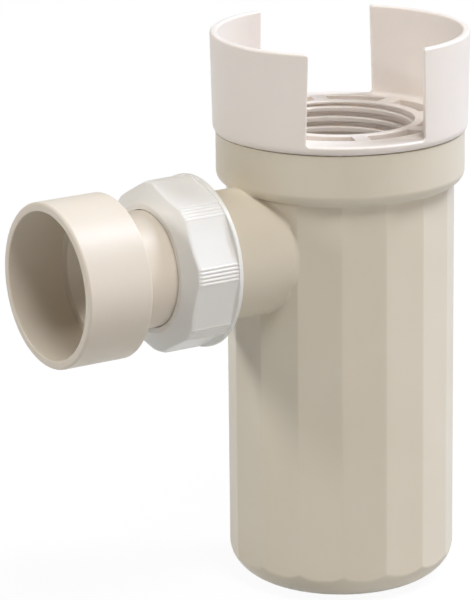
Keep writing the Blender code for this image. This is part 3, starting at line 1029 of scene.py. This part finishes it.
    def gap_tool(self, way: float) -> bpy.types.Object:
        """Solid that cuts one gap between the wings and rounds its edges.

        Args:
            way: -1 for the front gap and 1 for the back one.

        Returns:
            The tool solid.
        """
        edge, wall = self.gap_edge, self.wing_wall
        turns = np.radians((80.0, 60.0, 40.0, 20.0, 0.0))
        rounding = [(edge * (1.0 - math.sin(t)), edge * (1.0 - math.cos(t))) for t in turns]
        layers = [(depth, grow, grow) for depth, grow in rounding]
        layers += [(wall - depth, grow, 0.0) for depth, grow in reversed(rounding)]
        layers += [(wall + self.gap_reach, edge, 0.0)]
        across, height = np.array(self.gap_outline(edge, edge)).T
        along = np.full_like(across, self.layout.wing_radius + self.overcut)
        loops = [np.stack((across, way * along, height), -1)]
        for depth, grow, drop in layers:
            across, height = np.array(self.gap_outline(grow, drop)).T
            along = np.sqrt((self.outside(height) - depth) ** 2 - across ** 2)
            loops.append(np.stack((across, way * along, height), -1))
        return self.cutter(np.stack(loops), "wing_gap")

    def cutter(self, loops: np.ndarray, name: str) -> bpy.types.Object:
        """Closed solid through a stack of outlines, turned to the cap's place.

        Args:
            loops: Points of outline by point.
            name: The object's name.

        Returns:
            The tool solid.
        """
        cos, sin = math.cos(self.turned_by), math.sin(self.turned_by)
        spin = np.array(((cos, sin, 0.0), (-sin, cos, 0.0), (0.0, 0.0, 1.0)))
        skin = Skin(Axis.INLET, self.layout.outlet_z).add_grid(loops @ spin)
        return skin.build(name, capped=True)

    def pocket_tool(self, index: int) -> bpy.types.Object:
        """Solid that cuts one blind pocket beside the hub, with an eased mouth.

        Args:
            index: Which pocket it is, counted round the hub.

        Returns:
            The tool solid.
        """
        pitch = TURN / self.pockets
        middle = (index + 0.5) * pitch - math.pi / 2.0
        edge, floor = self.pocket_edge, self.web_z + self.pocket_floor
        turns = np.radians((10.0, 30.0, 50.0, 70.0, 90.0))
        stack = [(-self.pocket_overcut, edge + self.pocket_overcut_grow)]
        stack += [(edge * (1.0 - math.cos(t)), edge * (1.0 - math.sin(t))) for t in turns]
        loops = []
        for depth, grow in stack + [(None, 0.0)]:
            outline = []
            inside = self.hub_radius - grow
            outside = self.hub_radius + self.pocket_width + grow
            for radius, way in ((inside, 1.0), (outside, -1.0)):
                half = pitch / 2.0 - math.asin((self.rib_width / 2.0 - grow) / radius)
                outline += [(radius, middle + way * half * s)
                            for s in np.linspace(-1.0, 1.0, self.pocket_side_points)]
            polar = np.array(outline)
            level = (np.full(len(polar), floor) if depth is None
                     else self.surface_z(polar[:, 0]) - depth)
            loops.append(spun(polar[:, 0], level, polar[:, 1]))
        return self.cutter(np.stack(loops), "pocket")

    def build(self) -> None:
        """Make the cap and set it in the scene."""
        cap = self.blank()
        for way in (-1.0, 1.0):
            combine(cap, self.gap_tool(way), Cut.REMOVE)
        for index in range(self.pockets):
            combine(cap, self.pocket_tool(index), Cut.REMOVE)
        finish_piece(cap, "inlet_cap", Body.CAP, CAP_IVORY)


@dataclass
class OutletNut:
    """Eight-sided union nut with ribbed corners, a rear flange and its thread."""

    layout: Layout
    sides: int = 8
    wall: float = 1.65 * MM
    corner_rise: float = 0.95 * MM
    corner_foot: float = 0.6 * MM
    turned_by: float = math.radians(5.0 - 90.0)
    columns_per_flat: int = 12
    edge_round: float = 0.2 * MM
    # The thin flange at the rear, and the face with its shoulder and its hole.
    flange_rise: float = 0.5 * MM
    flange_length: float = 1.35 * MM
    flange_round: float = 0.35 * MM
    flange_foot: float = 0.45 * MM
    face_thickness: float = 2.5 * MM
    shoulder_depth: float = 2.3 * MM
    shoulder_round: float = 0.9 * MM
    rim: float = 18.2 * MM
    hole: float = 16.55 * MM
    # The ribs on the corners, which sink into the shoulder.
    ribs: int = 5
    rib_height: float = 0.22 * MM
    rib_fullness: float = 1.35
    rib_end: float = 0.9 * MM
    rib_end_round: float = 0.8 * MM
    rib_sink: float = 0.15 * MM
    rib_sink_rise: float = 0.1 * MM
    columns_per_rib: int = 8
    # The thread, and the flared mouth before it.
    thread_pitch: float = 3.0 * MM
    thread_depth: float = 0.8 * MM
    thread_end: float = 0.8 * MM
    mouth_depth: float = 0.6 * MM
    mouth_flare: float = 0.45 * MM
    floor_round: float = 0.4 * MM

    def __post_init__(self) -> None:
        """Work out the radii and places that follow from the sizes."""
        low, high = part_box("outlet_nut")
        self.rear, self.face = -high.x, -low.x
        self.bore = self.layout.branch_crest + RUNNING_FIT
        self.apothem = self.bore + self.wall
        self.corner = self.apothem + self.corner_rise
        self.flange = self.corner + self.flange_rise
        self.floor = self.face - self.face_thickness

    def outline(self) -> tuple[np.ndarray, np.ndarray, np.ndarray]:
        """The nut's outline with its flats and ribs.

        Returns:
            The columns' angles, their plain radii and the ribs' height there.
        """
        pitch = TURN / self.sides
        band = pitch / 2.0 - math.acos(self.apothem / self.corner)
        rib_steps = self.ribs * self.columns_per_rib
        angles, radii, ribs = [], [], []
        for side in range(self.sides):
            for step in range(rib_steps + 1):
                share = step / rib_steps
                angles.append(side * pitch - band + 2.0 * band * share)
                radii.append(self.corner)
                wave = 0.5 - 0.5 * math.cos(TURN * self.ribs * share)
                ribs.append(min(1.0, self.rib_fullness * wave) * self.rib_height)
            for off in np.linspace(-1.0, 1.0, self.columns_per_flat)[1:-1]:
                beside = (pitch / 2.0 - band) * off
                angles.append(side * pitch + pitch / 2.0 + beside)
                radii.append(self.apothem / math.cos(beside))
                ribs.append(0.0)
        return np.array(angles) + self.turned_by, np.array(radii), np.array(ribs)

    def section(self, radius: float, rib: float) -> Profile:
        """Section of the nut in one column, without its thread.

        Args:
            radius: Radius of the flats or corner in that column.
            rib: Height of the rib in that column.

        Returns:
            Points of (radius, place along the outlet), from bore to bore.
        """
        rear, face = self.rear, self.face
        slope = self.shoulder_depth / (self.corner - self.rim)
        shoulder = face - slope * (radius - self.rim)
        flange_end = rear + self.flange_length
        top = radius + rib
        return eased([
            (self.bore, rear + self.mouth_depth, 0.0),
            (self.bore + self.mouth_flare, rear, self.edge_round),
            (self.flange, rear, self.flange_round), (self.flange, flange_end, self.flange_foot),
            (top, flange_end, self.corner_foot), (top, shoulder - self.rib_end, self.rib_end_round),
            (radius - self.rib_sink, shoulder + self.rib_sink_rise, self.shoulder_round),
            (self.rim, face, self.shoulder_round), (self.hole, face, self.edge_round),
            (self.hole, self.floor, self.edge_round), (self.bore, self.floor, self.floor_round),
            (self.bore, self.floor - self.thread_end, 0.0)])

    def build(self) -> None:
        """Make the nut and set it in the scene."""
        angles, radii, ribs = self.outline()
        sections = np.stack([np.array(self.section(r, h)) for r, h in zip(radii, ribs)], axis=1)
        thread = Thread(self.bore, self.rear + self.mouth_depth, self.floor - self.thread_end,
                        self.thread_pitch, self.thread_depth, rows_per_pitch=8)
        skin = Skin(Axis.OUTLET, self.layout.outlet_z)
        skin.add_grid(spun(sections[..., 0], sections[..., 1], angles))
        nut = skin.add_grid(*thread.grid(angles)).build("trap_outlet_nut")
        finish_piece(nut, "outlet_nut", Body.NUT, NUT_WHITE)


@dataclass
class OutletTail:
    """Tail piece with its flange, its neck and the socket for the waste pipe."""

    layout: Layout
    columns: int = 192
    steps: int = 5
    wall: float = 2.2 * MM
    bore_end_round: float = 0.4 * MM
    flange_width: float = 4.15 * MM
    flange_thickness: float = 1.6 * MM
    flange_round: float = 0.3 * MM
    neck_round: float = 0.5 * MM
    # The socket. Its bore widens a little to the mouth, and a slope leads out of its floor.
    socket_wall: float = 3.1 * MM
    socket_floor: float = 2.9 * MM
    socket_depth: float = 17.0 * MM
    socket_edge: float = 0.5 * MM
    socket_foot_round: float = 0.8 * MM
    mouth_outer_round: float = 0.8 * MM
    mouth_inner_round: float = 0.35 * MM
    mouth_taper: float = 0.6 * MM
    seat_round: float = 0.35 * MM
    lead_in: float = 3.4 * MM

    def build(self) -> None:
        """Make the tail piece and set it in the scene."""
        low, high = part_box("outlet_tail")
        flange_x, mouth = -high.x, -low.x
        outside = true_radius(high.y, CAD_OUTLET_FACETS)
        flange = self.layout.branch_crest - RUNNING_FIT
        neck = flange - self.flange_width
        bore, socket_bore = neck - self.wall, outside - self.socket_wall
        neck_x = flange_x + self.flange_thickness
        step_x = mouth - self.socket_depth
        socket_x = step_x - self.socket_floor
        tail = turned("trap_outlet_tail", Axis.OUTLET, self.layout.outlet_z, [
            (bore, flange_x, self.bore_end_round), (flange, flange_x, self.flange_round),
            (flange, neck_x, self.flange_round), (neck, neck_x, self.neck_round),
            (neck, socket_x, self.socket_foot_round), (outside, socket_x, self.socket_edge),
            (outside, mouth, self.mouth_outer_round),
            (socket_bore + self.mouth_taper, mouth, self.mouth_inner_round),
            (socket_bore, step_x, self.seat_round), (bore + self.lead_in, step_x, self.neck_round),
            (bore, socket_x, self.neck_round)], self.columns, self.steps)
        finish_piece(tail, "outlet_tail", Body.TAIL, TAIL_IVORY)


@dataclass
class DipTube:
    """Tube under the inlet, with the dished flange that hangs it."""

    layout: Layout
    columns: int = 144
    bore: float = 14.0 * MM
    wall: float = 1.8 * MM
    hub_radius: float = 23.8 * MM
    flange_thickness: float = 1.8 * MM
    dish_depth: float = 6.0 * MM
    fillet: float = 1.5 * MM
    edge_round: float = 0.3 * MM
    flange_foot_round: float = 0.5 * MM
    dish_round: float = 0.15 * MM
    entry_round: float = 0.8 * MM

    def build(self) -> None:
        """Make the tube and set it in the scene."""
        low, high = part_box("dip_tube")
        outside, edge, rim = self.bore + self.wall, self.edge_round, self.layout.screwed_radius
        dish = self.hub_radius + RUNNING_FIT
        floor = high.z - self.dish_depth
        under, flange_z = floor - self.flange_thickness, high.z - self.flange_thickness
        tube = turned("trap_dip_tube", Axis.INLET, self.layout.outlet_z, [
            (self.bore, low.z, edge), (outside, low.z, edge), (outside, under, self.fillet),
            (dish + self.flange_thickness, under, self.fillet),
            (dish + self.flange_thickness, flange_z, self.flange_foot_round),
            (rim, flange_z, edge), (rim, high.z, edge), (dish, high.z, edge),
            (dish, floor, self.dish_round), (self.bore, floor, self.entry_round)], self.columns)
        finish_piece(tube, "dip_tube", Body.INSERT, TUBE_IVORY)


@dataclass
class FlatSeal:
    """Flat ring cut from rubber sheet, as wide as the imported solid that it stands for."""

    layout: Layout
    node: str
    axis: Axis
    width: float
    body: Body
    slot: str
    finish: SheetRubber
    columns: int = 128
    steps: int = 2
    edge: float = 0.12 * MM

    def build(self) -> None:
        """Make the ring and set it in the scene."""
        low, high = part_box(self.node)
        start, end = (low.z, high.z) if self.axis is Axis.INLET else (-high.x, -low.x)
        outside = true_radius(high.y, CAD_OUTLET_FACETS)
        inside = outside - self.width
        ring = turned(f"trap_{self.node}", self.axis, self.layout.outlet_z, [
            (inside, start, self.edge), (outside, start, self.edge), (outside, end, self.edge),
            (inside, end, self.edge)], self.columns, self.steps)
        finish_piece(ring, self.node, self.body, self.finish)


@dataclass(frozen=True)
class Lamp:
    """A round soft box that points at the middle of the trap."""

    name: str
    azimuth: float
    height: float
    watts: float
    tint: tuple[float, float, float]
    distance: float = 2.4
    size: float = 0.9

    def build(self, middle: Vector) -> None:
        """Hang the lamp.

        Args:
            middle: What it points at.
        """
        turn, rise = math.radians(self.azimuth), math.radians(self.height)
        flat = math.cos(rise)
        away = Vector((math.sin(turn) * flat, -math.cos(turn) * flat, math.sin(rise)))
        data = bpy.data.lights.new(self.name, "AREA")
        data.shape = "DISK"
        data.size = self.size
        data.energy = self.watts
        data.color = self.tint
        lamp = new_object(self.name, data)
        lamp.location = middle + away * self.distance
        lamp.rotation_mode = "QUATERNION"
        lamp.rotation_quaternion = away.to_track_quat("Z", "Y")


@dataclass
class Studio:
    """Plain pale floor, soft lights and the camera."""

    position: tuple[float, float, float] = (-0.59001, -0.85357, 0.37325)
    azimuth: float = math.radians(-33.01)
    pitch: float = math.radians(15.69)
    roll: float = math.radians(-0.61)
    focal_px: float = 3747.4
    image_height_px: float = 600.0
    sensor_mm: float = 36.0
    nearest: float = 0.05
    farthest: float = 50.0
    floor_side: float = 16.0
    floor_bounce: str = "B4B4B1"
    floor_seen: str = "F9F9F8"
    ambient: float = 0.14
    ambient_colour: str = "FFF6E6"
    glow_share: float = 0.94
    middle: tuple[float, float, float] = (-0.02, 0.0, 0.08)
    lamps: tuple[Lamp, ...] = (
        Lamp("left", -119.6, 27.0, 23.0, (0.96, 0.96, 0.96), size=0.5),
        Lamp("front", -14.6, 62.0, 33.0, (0.98, 0.99, 1.0)),
        Lamp("fill", 15.4, 9.0, 9.0, (1.0, 0.90, 0.88)),
        Lamp("right", 75.4, 48.0, 50.5, (0.77, 0.85, 1.0)))

    def camera(self) -> None:
        """Set the camera where the photograph was taken from."""
        cos_p, sin_p = math.cos(self.pitch), math.sin(self.pitch)
        ahead = Vector((-math.sin(self.azimuth) * cos_p, math.cos(self.azimuth) * cos_p, -sin_p))
        right = Vector((math.cos(self.azimuth), math.sin(self.azimuth), 0.0))
        up = right.cross(ahead)
        cos_r, sin_r = math.cos(self.roll), math.sin(self.roll)
        basis = Matrix((cos_r * right + sin_r * up, cos_r * up - sin_r * right, -ahead))
        data = bpy.data.cameras.new("camera")
        data.sensor_width = self.sensor_mm
        data.lens = self.focal_px / self.image_height_px * self.sensor_mm
        data.clip_start, data.clip_end = self.nearest, self.farthest
        camera = new_object("camera", data)
        camera.matrix_world = basis.transposed().to_4x4()
        camera.matrix_world.translation = Vector(self.position)
        bpy.context.scene.camera = camera

    def floor(self) -> None:
        """Lay the floor, which the camera sees as near white."""
        bm = bmesh.new()
        bmesh.ops.create_grid(bm, x_segments=1, y_segments=1, size=self.floor_side / 2.0)
        mesh = bpy.data.meshes.new("floor")
        bm.to_mesh(mesh)
        bm.free()
        floor = new_object("floor", mesh)
        material = bpy.data.materials.new("paper_matt_white_backdrop")
        material.use_nodes = True
        tree = material.node_tree
        tree.nodes.clear()
        path = add_node(tree, "ShaderNodeLightPath")
        glossy = add_node(tree, "ShaderNodeMath", {"operation": "MAXIMUM"}, {
            0: path.outputs["Is Camera Ray"], 1: path.outputs["Is Glossy Ray"]})
        seen = add_node(tree, "ShaderNodeMath", {"operation": "MAXIMUM"}, {
            0: glossy.outputs[0], 1: path.outputs["Is Transmission Ray"]})
        # Grey where it only bounces light back, white with a faint shadow where it is seen.
        tone = add_node(tree, "ShaderNodeMix", {"data_type": "RGBA"}, {
            0: seen.outputs[0], 6: linear(self.floor_bounce), 7: linear(self.floor_seen)})
        paper = add_node(tree, "ShaderNodeBsdfDiffuse", {}, {"Color": tone.outputs[2]})
        glow = add_node(tree, "ShaderNodeEmission", {}, {
            "Color": (1.0, 1.0, 1.0, 1.0), "Strength": 1.0})
        share = add_node(tree, "ShaderNodeMath", {"operation": "MULTIPLY"}, {
            0: seen.outputs[0], 1: self.glow_share})
        mix = add_node(tree, "ShaderNodeMixShader", {}, {
            0: share.outputs[0], 1: paper.outputs[0], 2: glow.outputs[0]})
        add_node(tree, "ShaderNodeOutputMaterial", {}, {"Surface": mix.outputs[0]})
        mesh.materials.append(material)

    def world(self) -> None:
        """Light the scene from all round, with a white backdrop for the camera."""
        world = bpy.data.worlds.new("studio")
        world.use_nodes = True
        tree = world.node_tree
        tree.nodes.clear()
        soft = add_node(tree, "ShaderNodeBackground", {}, {
            "Color": linear(self.ambient_colour), "Strength": self.ambient})
        white = add_node(tree, "ShaderNodeBackground", {}, {
            "Color": (1.0, 1.0, 1.0, 1.0), "Strength": 1.0})
        path = add_node(tree, "ShaderNodeLightPath")
        mix = add_node(tree, "ShaderNodeMixShader", {}, {
            0: path.outputs["Is Camera Ray"], 1: soft.outputs[0], 2: white.outputs[0]})
        add_node(tree, "ShaderNodeOutputWorld", {}, {"Surface": mix.outputs[0]})
        bpy.context.scene.world = world

    def build(self) -> None:
        """Set up the whole studio."""
        self.camera()
        self.floor()
        self.world()
        for lamp in self.lamps:
            lamp.build(Vector(self.middle))
        bpy.context.scene.view_settings.view_transform = "Standard"


def main() -> None:
    """Build the studio and every piece of the trap."""
    logging.basicConfig(level=logging.INFO, format="%(name)s: %(message)s")
    layout = Layout.from_frame()
    Studio().build()
    pieces = [
        Bottle(layout), DipTube(layout),
        FlatSeal(layout, "cap_seal", Axis.INLET, 2.5 * MM, Body.INSERT, "seal_rubber",
                 CAP_SEAL_RUBBER),
        FlatSeal(layout, "inlet_washer", Axis.INLET, 5.5 * MM, Body.INSERT, "washer_rubber",
                 INLET_WASHER_RUBBER),
        InletCap(layout),
        FlatSeal(layout, "outlet_seal", Axis.OUTLET, 4.6 * MM, Body.UNION_SEAL, "seal_rubber",
                 OUTLET_SEAL_RUBBER),
        OutletTail(layout), OutletNut(layout),
    ]
    for piece in pieces:
        piece.build()


if __name__ == "__main__":
    main()
